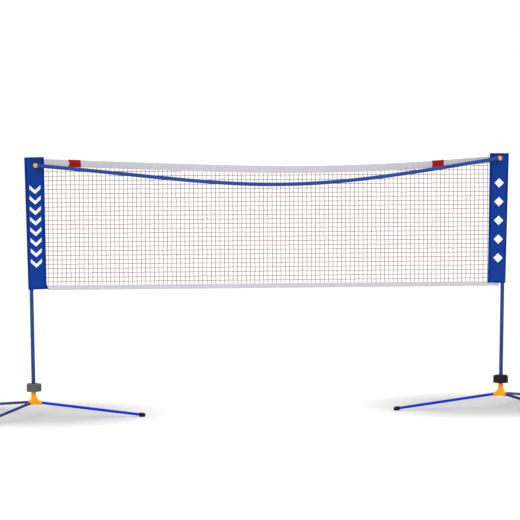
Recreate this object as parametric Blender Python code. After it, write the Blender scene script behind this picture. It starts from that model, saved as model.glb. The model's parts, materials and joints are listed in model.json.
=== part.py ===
"""Portable badminton net on two tripod stands, modelled as separate pieces in metres.

The net runs along X, +Z is up and the bowed bar hangs on the -Y side. The origin lies on the floor,
in the middle of the area that the feet take up. Run it with: blender --background --python part.py
"""

import math

import bmesh
import bpy
from mathutils import Matrix, Vector

# ---------------------------------------------------------------- driving dimensions (metres)
HEIGHT = 1.550  # floor to the top of the sleeves, the height of a badminton post
POLE_SPACING = 2.840  # between the pole axes where they pass through the hubs
POLE_LEAN = math.radians(0.8)  # each pole is pushed outwards by the bowed bar
STAND_TURN = {"left": math.radians(-7.3), "right": math.radians(1.3)}  # each stand on its pole
PIVOT_Z = 0.150  # height at which the pole axis crosses its hub's axis
GAP = 0.0003  # left between pieces that touch

SIDES = {"left": -1, "right": 1}

# Poles: two steel tubes end to end, joined by a spigot.
POLE_RADIUS = 0.0117
POLE_WALL = 0.0012
POLE_FOOT_Z = 0.104
POLE_SEAM_Z = 0.860
POLE_TOP_Z = 1.538
POLE_SPIGOT_HALF = 0.060

# Hub: a moulded neck with three arms, each holding a leg.
LEG_AXIS_Z = 0.093  # height at which the leg axes meet on the hub's axis
LEG_SLOPE = math.radians(7.15)  # brings the feet down to the floor, with a flat under each
ARM_REACH = 0.049
NECK_RADIUS = 0.0148
NECK_TOP_Z = 0.186
BORE_RADIUS = 0.0128
BORE_FLOOR_Z = 0.1035
ARM_HOLE_START = 0.0200  # where the hole for a leg starts, along the leg axis

# Legs and feet, measured along the leg axis from the hub's axis.
LEG_RADIUS = 0.0083
LEG_WALL = 0.0010
LEG_START = 0.0203
LEG_END = 0.6553
FOOT_START = 0.6320
FOOT_END = 0.6705
FOOT_RADIUS = 0.0132
FLOOR_CUT = 0.050  # half the width of the block that cuts a foot flat

# Locking nut, with its washer and split collet inside.
NUT_BOTTOM_Z = 0.155
NUT_TOP_Z = 0.203
NUT_RADIUS = 0.0425
NUT_LOBE = 0.0040
NUT_LOBES = 5
NUT_ROOF_Z = 0.1951
NUT_HOLE_RADIUS = 0.0134
NUT_THREAD_RADIUS = NECK_RADIUS + 0.0005
NUT_EDGE = 0.0050  # height of the rounding at the rim
NUT_CROWN = 0.0010  # how far the top rises to the middle
NUT_CROWN_RADIUS = 0.0200
NUT_STEPS = 6 * NUT_LOBES
WASHER_Z = (0.1918, 0.1948)
COLLET_TOP_Z = 0.1915
COLLET_SLIT = math.radians(9)  # half the angle of the slit

# Sleeves: flat fabric pockets that the poles slide into.
SLEEVE_BOTTOM_Z = 0.764
SLEEVE_INWARD = 0.0904  # pole axis to the sleeve's net-side edge
SLEEVE_OUTWARD_TOP = 0.0265
SLEEVE_OUTWARD_BOTTOM = 0.0185
SLEEVE_FLARE = {"left": 0.011, "right": 0.002}  # lower corner drawn towards the net
FLARE_RISE = 0.040
TUNNEL_RADIUS = 0.0142
CLOTH = 0.0012
HEM_HALF = 0.0030  # half the thickness of the net-side edge
BACK_EDGE_HALF = 0.0013  # half the thickness of the outer edge
SLEEVE_ROOF = 0.0040
STUD_HOLE_RADIUS = 0.0075

# Bowed bar, hung from a ball stud on each pole.
BALL_Z = {"left": 1.502, "right": 1.521}
BALL_INWARD = 0.0365
BALL_FORWARD = 0.036
BALL_RADIUS = 0.0070
STUD_RADIUS = 0.0035
BAR_RADIUS = 0.0112
BAR_BORE = 0.0096
BAR_CORE = 0.0093  # radius of what plugs into the bar's bore
BAR_SAG = 0.130
BAR_MODES = (1.0, -0.07, -0.04)  # shares of the bar's first three bending shapes
BAR_SECTIONS = 4
BAR_START = 0.0098  # ball centre to the first tube's end
SOCKET_RADIUS = 0.0132
SOCKET_HALF = 0.0100
SOCKET_FLAT = 0.0092
CAVITY_STEPS = 9  # bands from pole to pole of the socket's round cavity
BRACKET_HALF = 0.0120  # half the height of the ring on the pole
LUG_HALF = 0.0090
LUG_DEPTH_HALF = 0.0040
STUD_INSET = 0.0018  # how far the stud's shank runs past the lug's middle

# Net, tapes and markers.
TAPE_END_Z = {"left": 1.543, "right": 1.538}
TAPE_SAG = 0.054
TAPE_SKEW = -0.14
TAPE_WIDTH = 0.042
TAPE_HALF = 0.0016
FOOT_TAPE_Z = {"left": 0.7725, "right": 0.7605}
FOOT_TAPE_WIDTH = 0.028
FOOT_TAPE_TAIL_X = 1.4055
FOOT_TAPE_TAIL_TOP = 0.7625
NET_HALF = 0.0005
MARKERS = {"left_marker": (-1.2065, -1.1295), "right_marker": (0.9926, 1.0666)}
MARKER_HALF = 0.0030

ROUND = 16  # sides of a pole, hub or ring
SLIM = 12  # sides of a leg, bar or stud; mating pieces have as many sides as each other

COLOURS = {
    "pole_blue": ((0.020, 0.062, 0.240), 0.35, 0.5),
    "leg_blue": ((0.004, 0.035, 0.560), 0.35, 0.3),
    "bar_blue": ((0.030, 0.078, 0.310), 0.35, 0.5),
    "orange": ((1.000, 0.370, 0.010), 0.45, 0.0),
    "nut_grey": ((0.110, 0.110, 0.110), 0.60, 0.0),
    "nut_black": ((0.020, 0.018, 0.015), 0.60, 0.0),
    "rubber": ((0.010, 0.010, 0.010), 0.85, 0.0),
    "steel": ((0.450, 0.450, 0.450), 0.30, 1.0),
    "black_plastic": ((0.020, 0.020, 0.020), 0.50, 0.0),
    "sleeve_blue": ((0.010, 0.050, 0.320), 0.85, 0.0),
    "tape": ((0.620, 0.600, 0.660), 0.80, 0.0),
    "marker_red": ((0.450, 0.012, 0.012), 0.80, 0.0),
    "netting": ((0.300, 0.060, 0.070), 0.80, 0.0),
}


# ---------------------------------------------------------------- building helpers
def clear_scene():
    for obj in list(bpy.data.objects):
        bpy.data.objects.remove(obj, do_unlink=True)


def material(key):
    """The Principled material of this name, made on first use."""
    found = bpy.data.materials.get(key)
    if found:
        return found
    colour, roughness, metallic = COLOURS[key]
    made = bpy.data.materials.new(key)
    made.use_nodes = True
    shader = made.node_tree.nodes["Principled BSDF"]
    shader.inputs["Base Color"].default_value = (*colour, 1.0)
    shader.inputs["Roughness"].default_value = roughness
    shader.inputs["Metallic"].default_value = metallic
    return made


def circle(radius, z, count=ROUND):
    """Points of a circle about Z; a radius of 0 gives the single point on the axis."""
    if radius == 0:
        return [Vector((0, 0, z))]
    turn = 2 * math.pi / count
    return [Vector((radius * math.cos(i * turn), radius * math.sin(i * turn), z)) for i in range(count)]


def skin(rings, closed=False):
    """A closed body through rings of points. Its ends are capped, or join each other if closed."""
    bm = bmesh.new()
    loops = [[bm.verts.new(point) for point in ring] for ring in rings]
    pairs = list(zip(loops, loops[1:]))
    if closed:
        pairs.append((loops[-1], loops[0]))
    for low, high in pairs:
        count = max(len(low), len(high))
        for i in range(count):
            j = (i + 1) % count
            corners = [low[i % len(low)], low[j % len(low)], high[j % len(high)], high[i % len(high)]]
            bm.faces.new(dict.fromkeys(corners))
    if not closed:
        for end in (loops[0], loops[-1]):
            if len(end) > 2:
                bm.faces.new(end)
    return bm


def turned(profile, count=ROUND, closed=False):
    """A body turned about Z from (radius, z) points."""
    return skin([circle(radius, z, count) for radius, z in profile], closed)


def tube(outer, inner, start, end, count=ROUND):
    """An open-ended round tube along Z."""
    return turned([(inner, start), (outer, start), (outer, end), (inner, end)], count, closed=True)


def block(low, high):
    """A box between two corners."""
    ring = [(low[0], low[1]), (high[0], low[1]), (high[0], high[1]), (low[0], high[1])]
    return skin([[Vector((x, y, z)) for x, y in ring] for z in (low[2], high[2])])


def solid(name, bm, colour, frame=None, origin=(0, 0, 0)):
    """Adds bm, drawn in frame's axes, as an object whose origin is frame's point origin."""
    frame = frame or Matrix.Identity(4)
    place = frame @ Vector(origin)
    bm.transform(Matrix.Translation(-place) @ frame)
    bmesh.ops.recalc_face_normals(bm, faces=bm.faces)
    mesh = bpy.data.meshes.new(name)
    bm.to_mesh(mesh)
    bm.free()
    mesh.shade_smooth()
    mesh.set_sharp_from_angle(angle=math.radians(35))
    obj = bpy.data.objects.new(name, mesh)
    obj.location = place
    obj.data.materials.append(material(colour))
    bpy.context.scene.collection.objects.link(obj)
    return obj


def combine(obj, bm, operation, frame=None):
    """Adds bm to obj, or cuts it away, with a Boolean modifier and a hidden helper object."""
    label = f"{obj.name}_{operation.lower()}_{len(obj.modifiers)}"
    helper = solid(label, bm, "steel", frame)
    helper.hide_render = True
    helper.display_type = "WIRE"
    modifier = obj.modifiers.new(label, "BOOLEAN")
    modifier.operation = operation
    modifier.object = helper


# ---------------------------------------------------------------- frames of the two stands
def pole_frame(side):
    """Local x points to the net, y to the back and z up the leaning pole, from PIVOT_Z on its axis."""
    sign = SIDES[side]
    inward = Vector((-sign * math.cos(POLE_LEAN), 0, math.sin(POLE_LEAN)))
    axis = Vector((sign * math.sin(POLE_LEAN), 0, math.cos(POLE_LEAN)))
    frame = Matrix((inward, Vector((0, 1, 0)), axis)).transposed().to_4x4()
    frame.translation = Vector((sign * POLE_SPACING / 2, 0, PIVOT_Z))
    return frame


def stand_frame(side):
    """Local x points along the inner leg, z is up, and the origin is on the floor under the hub."""
    turn = STAND_TURN[side] + (0 if side == "left" else math.pi)
    place = Vector((SIDES[side] * POLE_SPACING / 2, 0, 0))
    return Matrix.Translation(place) @ Matrix.Rotation(turn, 4, "Z")


def leg_frame(side, angle):
    """Local z runs out along a leg's axis, from the point where it meets the hub's axis."""
    tilt = Matrix.Rotation(math.pi / 2 + LEG_SLOPE, 4, "Y")
    lift = Matrix.Translation((0, 0, LEG_AXIS_Z))
    return stand_frame(side) @ Matrix.Rotation(angle, 4, "Z") @ lift @ tilt


def leg_angles(side):
    """The three legs of a stand by name. Those at +-120 degrees are named by the side they point to."""
    third = 2 * math.pi / 3
    back = third if side == "left" else -third
    return {"inner": 0.0, "front": -back, "back": back}


def pole_axis_x(side, z):
    return SIDES[side] * (POLE_SPACING / 2 + math.tan(POLE_LEAN) * (z - PIVOT_Z))


# ---------------------------------------------------------------- stands
def arm_body():
    """One arm of the hub along local +X, as a loft that starts inside the neck."""
    stations = (  # distance out, half width, underside, top
        (0.000, 0.0100, 0.0790, 0.1270),
        (0.013, 0.0112, 0.0780, 0.1262),
        (0.023, 0.0121, 0.0764, 0.1130),
        (0.036, 0.0125, 0.0755, 0.1010),
        (ARM_REACH, 0.0125, 0.0746, 0.0991),
    )
    rings = []
    for out, half, low, high in stations:
        centre = (low + high) / 2
        ring = [Vector((out, half * p.x, centre + (high - low) / 2 * p.y)) for p in circle(1.0, 0, SLIM)]
        rings.append(ring)
    return skin(rings)


def add_hub(side):
    frame = stand_frame(side)
    core = (
        (0.0, 0.0790),
        (0.0190, 0.0770),
        (0.0205, 0.0850),
        (0.0195, 0.0980),
        (0.0165, 0.1120),
        (NECK_RADIUS, 0.1270),
        (NECK_RADIUS, NECK_TOP_Z),
        (0.0, NECK_TOP_Z),
    )
    hub = solid(f"{side}_hub", turned(core), "orange", frame, (0, 0, PIVOT_Z))
    for angle in leg_angles(side).values():
        combine(hub, arm_body(), "UNION", frame @ Matrix.Rotation(angle, 4, "Z"))
    past = NECK_TOP_Z + 0.014
    bore = turned([(0, BORE_FLOOR_Z), (BORE_RADIUS, BORE_FLOOR_Z), (BORE_RADIUS, past), (0, past)])
    combine(hub, bore, "DIFFERENCE", frame)
    hole = LEG_RADIUS + GAP
    for angle in leg_angles(side).values():
        past = ARM_REACH + 0.011
        reach = [(0, ARM_HOLE_START), (hole, ARM_HOLE_START), (hole, past), (0, past)]
        combine(hub, turned(reach, SLIM), "DIFFERENCE", leg_frame(side, angle))


def add_leg(side, name, angle):
    frame = leg_frame(side, angle)
    bm = tube(LEG_RADIUS, LEG_RADIUS - LEG_WALL, LEG_START, LEG_END, SLIM)
    solid(f"{side}_leg_{name}", bm, "leg_blue", frame, (0, 0, LEG_START))


def add_foot(side, name, angle):
    """A rubber cap, cut flat where it stands on the floor."""
    hole = LEG_RADIUS + GAP
    profile = (
        (0.0, LEG_END + GAP),
        (hole, LEG_END + GAP),
        (hole, FOOT_START),
        (0.0100, FOOT_START),
        (0.0122, FOOT_START + 0.0030),
        (FOOT_RADIUS, FOOT_END - 0.0150),
        (0.0100, FOOT_END - 0.0030),
        (0.0, FOOT_END),
    )
    frame = leg_frame(side, angle)
    foot = solid(f"{side}_foot_{name}", turned(profile, SLIM), "rubber", frame, (0, 0, LEG_END))
    centre = frame @ Vector((0, 0, LEG_END))
    low = (centre.x - FLOOR_CUT, centre.y - FLOOR_CUT, -FLOOR_CUT)
    high = (centre.x + FLOOR_CUT, centre.y + FLOOR_CUT, 0.0)
    combine(foot, block(low, high), "DIFFERENCE")


def lobed(scale, z):
    """A ring of the locking nut's lobed outline."""
    ring = []
    for i in range(NUT_STEPS):
        angle = 2 * math.pi * i / NUT_STEPS
        radius = scale * (NUT_RADIUS + NUT_LOBE * math.cos(NUT_LOBES * angle))
        ring.append(Vector((radius * math.cos(angle), radius * math.sin(angle), z)))
    return ring


def add_locking_nut(side):
    rim_z = NUT_TOP_Z - NUT_CROWN
    rings = [
        circle(NUT_THREAD_RADIUS, NUT_BOTTOM_Z, NUT_STEPS),
        lobed(0.92, NUT_BOTTOM_Z),
        lobed(1.00, NUT_BOTTOM_Z + NUT_EDGE),
        lobed(1.00, rim_z - NUT_EDGE),
        lobed(0.92, rim_z),
        circle(NUT_CROWN_RADIUS, NUT_TOP_Z, NUT_STEPS),
        circle(NUT_HOLE_RADIUS, NUT_TOP_Z, NUT_STEPS),
        circle(NUT_HOLE_RADIUS, NUT_ROOF_Z, NUT_STEPS),
        circle(NUT_THREAD_RADIUS, NUT_ROOF_Z, NUT_STEPS),
    ]
    colour = "nut_grey" if side == "left" else "nut_black"
    solid(f"{side}_locking_nut", skin(rings, closed=True), colour, stand_frame(side), (0, 0, NUT_TOP_Z))


def add_thrust_washer(side):
    bottom, top = WASHER_Z
    bm = tube(NECK_RADIUS - 0.0002, BORE_RADIUS + 0.0002, bottom, top)
    solid(f"{side}_thrust_washer", bm, "steel", stand_frame(side), (0, 0, bottom))


def add_clamp_collet(side):
    """A split ring with a tapered outside, which the nut squeezes onto the pole."""
    bottom, top = NECK_TOP_Z + GAP, COLLET_TOP_Z
    foot, tip = NECK_RADIUS - 0.0002, NECK_RADIUS - 0.0009
    section = ((BORE_RADIUS, bottom), (foot, bottom), (tip, top), (BORE_RADIUS, top))
    rings = []
    for i in range(ROUND + 1):
        angle = COLLET_SLIT + (2 * math.pi - 2 * COLLET_SLIT) * i / ROUND
        rings.append([Vector((r * math.cos(angle), r * math.sin(angle), z)) for r, z in section])
    solid(f"{side}_clamp_collet", skin(rings), "black_plastic", stand_frame(side), (0, 0, bottom))


# ---------------------------------------------------------------- poles
def add_poles(side):
    frame = pole_frame(side)
    bore = POLE_RADIUS - POLE_WALL
    core = bore - GAP
    low, seam, high = (z - PIVOT_Z for z in (POLE_FOOT_Z, POLE_SEAM_Z, POLE_TOP_Z))
    lower = tube(POLE_RADIUS, bore, low, seam)
    solid(f"{side}_lower_pole", lower, "pole_blue", frame, (0, 0, low))
    upper = tube(POLE_RADIUS, bore, seam + GAP, high)
    solid(f"{side}_upper_pole", upper, "pole_blue", frame, (0, 0, seam))
    spigot = tube(core, core - 0.0015, seam - POLE_SPIGOT_HALF, seam + POLE_SPIGOT_HALF)
    solid(f"{side}_pole_spigot", spigot, "steel", frame, (0, 0, seam))
    cap = (
        (0.0, high - 0.020),
        (core, high - 0.018),
        (core, high + GAP),
        (POLE_RADIUS + 0.0005, high + GAP),
        (POLE_RADIUS + 0.0005, high + 0.0025),
        (0.0080, high + 0.0050),
        (0.0, high + 0.0055),
    )
    solid(f"{side}_pole_top_cap", turned(cap), "black_plastic", frame, (0, 0, high))


# ---------------------------------------------------------------- sleeves
def pocket_outline(wrap, outward, inward, edge_half, outer_half):
    """Half of a pocket's cross-section, from its outer edge round the pole to its net-side edge."""
    tangent = math.asin((wrap - edge_half) / inward)
    start = math.pi - math.asin(outer_half / wrap)
    end = math.pi / 2 - tangent
    half = [Vector((-outward, outer_half, 0))]
    for i in range(6):
        angle = start + (end - start) * i / 5
        half.append(Vector((wrap * math.cos(angle), wrap * math.sin(angle), 0)))
    last = half[-1].copy()
    edge = Vector((inward, edge_half, 0))
    half += [last.lerp(edge, 1 / 3), last.lerp(edge, 2 / 3), edge]
    return half + [Vector((p.x, -p.y, 0)) for p in reversed(half)]


def sleeve_flare(side, z):
    """How far the sleeve's net-side edge is drawn towards the net at height z."""
    share = (SLEEVE_BOTTOM_Z + FLARE_RISE - z) / FLARE_RISE
    return SLEEVE_FLARE[side] * min(max(share, 0.0), 1.0)


def sleeve_edge_x(side, z):
    """Where the net-side edge of a sleeve is, at height z."""
    return pole_axis_x(side, z) - SIDES[side] * (SLEEVE_INWARD + sleeve_flare(side, z))


def add_sleeve(side):
    """A pocket closed at the top and open at the bottom, with a hole for the ball stud."""
    frame = pole_frame(side)
    heights = (SLEEVE_BOTTOM_Z, SLEEVE_BOTTOM_Z + FLARE_RISE, 1.15, HEIGHT)
    outside, inside = [], []
    wrap = TUNNEL_RADIUS + CLOTH
    for z in heights:
        share = (z - SLEEVE_BOTTOM_Z) / (HEIGHT - SLEEVE_BOTTOM_Z)
        outward = SLEEVE_OUTWARD_BOTTOM + share * (SLEEVE_OUTWARD_TOP - SLEEVE_OUTWARD_BOTTOM)
        inward = SLEEVE_INWARD + sleeve_flare(side, z)
        lift = Vector((0, 0, z - PIVOT_Z))
        shell = pocket_outline(wrap, outward, inward, HEM_HALF, BACK_EDGE_HALF)
        outside.append([p + lift for p in shell])
        roof = Vector((0, 0, -SLEEVE_ROOF if z == HEIGHT else 0))
        cavity = pocket_outline(TUNNEL_RADIUS, TUNNEL_RADIUS + 0.0005, inward - 0.008, 0.0016, 0.0004)
        inside.append([p + lift + roof for p in cavity])
    sleeve = solid(f"{side}_sleeve", skin(inside[::-1] + outside), "sleeve_blue", frame)
    place = Matrix.Translation((BALL_INWARD, 0, BALL_Z[side] - PIVOT_Z))
    along = place @ Matrix.Rotation(math.pi / 2, 4, "X")
    near, far = 0.001, 2 * TUNNEL_RADIUS + 0.0016
    hole = turned([(0, near), (STUD_HOLE_RADIUS, near), (STUD_HOLE_RADIUS, far), (0, far)])
    combine(sleeve, hole, "DIFFERENCE", frame @ along)


def add_sleeve_eyelet(side):
    """A metal ring set square to the sleeve's slanting front."""
    slant = math.asin((TUNNEL_RADIUS + CLOTH - HEM_HALF) / SLEEVE_INWARD)
    surface = (TUNNEL_RADIUS + CLOTH - math.sin(slant) * BALL_INWARD) / math.cos(slant)
    profile = (
        (0.0056, -0.0025),
        (0.0068, -0.0025),
        (0.0068, 2 * GAP),
        (0.0105, 2 * GAP),
        (0.0080, 2 * GAP + 0.0014),
        (0.0056, 2 * GAP + 0.0008),
    )
    place = Matrix.Translation((BALL_INWARD, -surface, BALL_Z[side] - PIVOT_Z))
    turn = Matrix.Rotation(slant, 4, "Z") @ Matrix.Rotation(math.pi / 2, 4, "X")
    bm = turned(profile, closed=True)
    solid(f"{side}_sleeve_eyelet", bm, "steel", pole_frame(side) @ place @ turn)


# ---------------------------------------------------------------- bowed bar
def ball_centre(side):
    return pole_frame(side) @ Vector((BALL_INWARD, -BALL_FORWARD, BALL_Z[side] - PIVOT_Z))


def bar_point(share):
    """A point on the bar's centre line; share runs from 0 at the left ball to 1 at the right."""
    chord = ball_centre("left").lerp(ball_centre("right"), share)
    waves = [part * math.sin((n + 1) * math.pi * share) for n, part in enumerate(BAR_MODES)]
    return chord - Vector((0, 0, BAR_SAG * sum(waves)))


def bar_axes(share, toward=1):
    """A frame on the bar with z along it, towards the right for 1 or the left for -1, and y to the back."""
    step = 1e-4
    along = (bar_point(share + step) - bar_point(share - step)).normalized() * toward
    back = Vector((0, 1, 0))
    frame = Matrix((back.cross(along), back, along)).transposed().to_4x4()
    frame.translation = bar_point(share)
    return frame


def along_bar(radius, first, last, steps):
    """Rings of this radius round the bar's centre line, between two shares of its length."""
    rings = []
    for i in range(steps + 1):
        frame = bar_axes(first + (last - first) * i / steps)
        rings.append([frame @ point for point in circle(radius, 0, SLIM)])
    return rings


def add_bar():
    """Curved tubes butted end to end over short spigots."""
    span = (ball_centre("right") - ball_centre("left")).length
    ends = BAR_START / span
    seam = 0.00025 / span
    spigot = 0.050 / span
    for k in range(BAR_SECTIONS):
        first = ends if k == 0 else k / BAR_SECTIONS + seam
        last = 1 - ends if k == BAR_SECTIONS - 1 else (k + 1) / BAR_SECTIONS - seam
        outer = along_bar(BAR_RADIUS, first, last, 8)
        inner = along_bar(BAR_BORE, first, last, 8)
        wall = skin(outer + inner[::-1], closed=True)
        solid(f"bar_section_{k + 1}", wall, "bar_blue", origin=bar_point(first))
    for k in range(1, BAR_SECTIONS):
        middle = k / BAR_SECTIONS
        rings = along_bar(BAR_CORE, middle - spigot, middle + spigot, 3)
        solid(f"bar_spigot_{k}", skin(rings), "steel", origin=bar_point(middle))


def add_bar_end_socket(side):
    """A D-shaped knuckle that snaps over the ball and plugs into the bar."""
    frame = bar_axes(0, 1) if side == "left" else bar_axes(1, -1)
    opening = math.acos(SOCKET_FLAT / SOCKET_RADIUS)
    rings = []
    for scale, y in ((0.88, -1.0), (1.0, -0.80), (1.0, 0.80), (0.88, 1.0)):
        ring = []
        for i in range(ROUND + 1):
            angle = opening + (2 * math.pi - 2 * opening) * i / ROUND
            ring.append(Vector((math.sin(angle), 0, math.cos(angle))) * SOCKET_RADIUS * scale)
            ring[-1].y = y * SOCKET_HALF
        rings.append(ring)
    socket = solid(f"{side}_bar_end_socket", skin(rings), "orange", frame)
    tang = turned([(0, 0.006), (BAR_CORE, 0.006), (BAR_CORE, 0.043), (0.0055, 0.046), (0, 0.046)], SLIM)
    combine(socket, tang, "UNION", frame)
    half_step = math.pi / CAVITY_STEPS / 2
    # The flats of the cavity clear the ball by the gap, so its corners lie a little further out.
    hollow = (BALL_RADIUS + GAP) / (math.cos(half_step) * math.cos(math.pi / ROUND))
    arc = [2 * half_step * i for i in range(1, CAVITY_STEPS)]
    cap_bottom, cap_top = (0, -hollow), (0, hollow)
    belt = [(hollow * math.sin(a), -hollow * math.cos(a)) for a in arc]
    cavity = turned([cap_bottom, *belt, cap_top])
    combine(socket, cavity, "DIFFERENCE", frame)
    facing_back = frame @ Matrix.Rotation(-math.pi / 2, 4, "X")
    mouth = turned([(0, 0.0030), (0.0056, 0.0030), (0.0110, 0.0115), (0, 0.0115)])
    combine(socket, mouth, "DIFFERENCE", facing_back)
    peephole = turned([(0, -0.012), (0.0026, -0.012), (0.0026, -0.003), (0, -0.003)], SLIM)
    combine(socket, peephole, "DIFFERENCE", facing_back)


def add_ball_stud(side):
    arc = [math.radians(150 - 25 * i) for i in range(7)]
    ball = [(BALL_RADIUS * math.sin(a), BALL_FORWARD - BALL_RADIUS * math.cos(math.pi - a)) for a in arc]
    ball[-1] = (0.0, BALL_FORWARD + BALL_RADIUS)
    profile = [(0.0, -STUD_INSET), (STUD_RADIUS, -STUD_INSET)] + sorted(ball, key=lambda p: p[1])
    place = Matrix.Translation((BALL_INWARD, 0, BALL_Z[side] - PIVOT_Z))
    frame = pole_frame(side) @ place @ Matrix.Rotation(math.pi / 2, 4, "X")
    solid(f"{side}_ball_stud", turned(profile, SLIM), "steel", frame, (0, 0, BALL_FORWARD))


def add_bar_bracket(side):
    """A ring clamped on the pole with a lug, into which the ball stud is screwed."""
    frame = pole_frame(side) @ Matrix.Translation((0, 0, BALL_Z[side] - PIVOT_Z))
    ring = tube(TUNNEL_RADIUS - 0.0004, POLE_RADIUS + GAP, -BRACKET_HALF, BRACKET_HALF)
    bracket = solid(f"{side}_bar_bracket", ring, "black_plastic", frame)
    root = POLE_RADIUS + 0.0012
    outline = [(root, -LUG_HALF), (root, LUG_HALF)]
    for i in range(7):
        angle = math.pi / 2 - math.pi * i / 6
        outline.append((BALL_INWARD + LUG_HALF * math.cos(angle), LUG_HALF * math.sin(angle)))
    lug = skin([[Vector((x, y, z)) for x, z in outline] for y in (-LUG_DEPTH_HALF, LUG_DEPTH_HALF)])
    combine(bracket, lug, "UNION", frame)
    hole = STUD_RADIUS + GAP
    floor, past = -STUD_INSET - GAP, 0.010
    blind = turned([(0, floor), (hole, floor), (hole, past), (0, past)], SLIM)
    place = Matrix.Translation((BALL_INWARD, 0, 0)) @ Matrix.Rotation(math.pi / 2, 4, "X")
    combine(bracket, blind, "DIFFERENCE", frame @ place)


# ---------------------------------------------------------------- net
def tape_top_z(x):
    """Height of the top tape's upper edge."""
    left, right = pole_axis_x("left", HEIGHT), pole_axis_x("right", HEIGHT)
    share = (x - left) / (right - left)
    slack = math.sin(math.pi * share) + TAPE_SKEW * math.sin(2 * math.pi * share)
    return TAPE_END_Z["left"] * (1 - share) + TAPE_END_Z["right"] * share - TAPE_SAG * slack


def foot_tape_z(x):
    """Height of the bottom tape's centre line."""
    left, right = (sleeve_edge_x(side, SLEEVE_BOTTOM_Z) for side in SIDES)
    share = (x - left) / (right - left)
    return FOOT_TAPE_Z["left"] * (1 - share) + FOOT_TAPE_Z["right"] * share


def strip(stations, half):
    """A flat strip across Y through stations of (x at the bottom, bottom z, x at the top, top z)."""
    rings = []
    for low_x, low_z, high_x, high_z in stations:
        front = ((low_x, -half, low_z), (high_x, -half, high_z))
        back = ((high_x, half, high_z), (low_x, half, low_z))
        rings.append([Vector(corner) for corner in front + back])
    return skin(rings)


def spread(side_clearance, z, steps):
    """x values at height z from one sleeve's edge to the other's."""
    left = sleeve_edge_x("left", z) + side_clearance
    right = sleeve_edge_x("right", z) - side_clearance
    return [left + (right - left) * i / steps for i in range(steps + 1)]


def add_top_tape(steps=20):
    stations = []
    for x_low, x_high in zip(spread(2 * GAP, HEIGHT - TAPE_WIDTH, steps), spread(2 * GAP, HEIGHT, steps)):
        stations.append((x_low, tape_top_z(x_low) - TAPE_WIDTH, x_high, tape_top_z(x_high)))
    solid("top_tape", strip(stations, TAPE_HALF), "tape")


def add_bottom_tape():
    """The tape ends against the left sleeve, and its tail passes under the right one."""
    half = FOOT_TAPE_WIDTH / 2
    low_left = sleeve_edge_x("left", SLEEVE_BOTTOM_Z) + 2 * GAP
    low_right = sleeve_edge_x("right", SLEEVE_BOTTOM_Z) - 2 * GAP
    stations = []
    for x in (low_left, 0.0, low_right):
        z = foot_tape_z(x)
        stations.append((x, z - half, x, z + half))
    tail_bottom = foot_tape_z(low_right) - half
    for x in (low_right + GAP, FOOT_TAPE_TAIL_X):
        stations.append((x, tail_bottom, x, FOOT_TAPE_TAIL_TOP))
    solid("bottom_tape", strip(stations, TAPE_HALF), "tape")


def add_net_panel(steps=20):
    bottom_z = max(FOOT_TAPE_Z.values()) + FOOT_TAPE_WIDTH / 2
    lows = spread(3 * GAP, bottom_z - 0.013, steps)
    highs = spread(3 * GAP, HEIGHT, steps)
    stations = []
    for low, high in zip(lows, highs):
        low_z = foot_tape_z(low) + FOOT_TAPE_WIDTH / 2 + GAP
        stations.append((low, low_z, high, tape_top_z(high) - TAPE_WIDTH - 2 * GAP))
    solid("net_panel", strip(stations, NET_HALF), "netting")


def add_marker(name):
    """A band folded over the top tape and sewn down both faces."""
    first, last = MARKERS[name]
    inner = TAPE_HALF + GAP
    rings = []
    for x in (first, (first + last) / 2, last):
        top = tape_top_z(x)
        low = top - TAPE_WIDTH - 0.001
        crest, crease = top + 0.002, top + 0.0008
        outside = ((-MARKER_HALF, low), (-MARKER_HALF, crest), (MARKER_HALF, crest), (MARKER_HALF, low))
        inside = ((inner, low), (inner, crease), (-inner, crease), (-inner, low))
        rings.append([Vector((x, y, z)) for y, z in outside + inside])
    solid(name, skin(rings), "marker_red")


# ---------------------------------------------------------------- assembly
def footprint_centre():
    """The middle of the box round the tips of all six legs, on the floor."""
    tip = Vector((0, 0, FOOT_END))
    tips = [leg_frame(side, angle) @ tip for side in SIDES for angle in leg_angles(side).values()]
    x_range = [point.x for point in tips]
    y_range = [point.y for point in tips]
    return Vector(((min(x_range) + max(x_range)) / 2, (min(y_range) + max(y_range)) / 2, 0))


def main():
    clear_scene()
    for side in SIDES:
        add_hub(side)
        add_locking_nut(side)
        add_thrust_washer(side)
        add_clamp_collet(side)
        for name, angle in leg_angles(side).items():
            add_leg(side, name, angle)
            add_foot(side, name, angle)
        add_poles(side)
        add_sleeve(side)
        add_sleeve_eyelet(side)
        add_bar_bracket(side)
        add_ball_stud(side)
        add_bar_end_socket(side)
    add_bar()
    add_net_panel()
    add_top_tape()
    add_bottom_tape()
    for name in MARKERS:
        add_marker(name)
    centre = footprint_centre()
    for obj in bpy.data.objects:
        obj.location -= centre


main()
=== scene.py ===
"""The looks of a portable badminton net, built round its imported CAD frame.

Everything is in metres in the frame's axes: X runs along the net, -Y to the bowed bar's side and +Z up.
Places come from the frame's joints and from the CAD's own formulas, which are repeated here.
"""

import json
import random
from math import acos, asin, atan2, copysign, cos, exp, hypot, pi, radians, sin, sqrt, tan

import bmesh
import bpy
from mathutils import Matrix, Vector, noise


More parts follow.
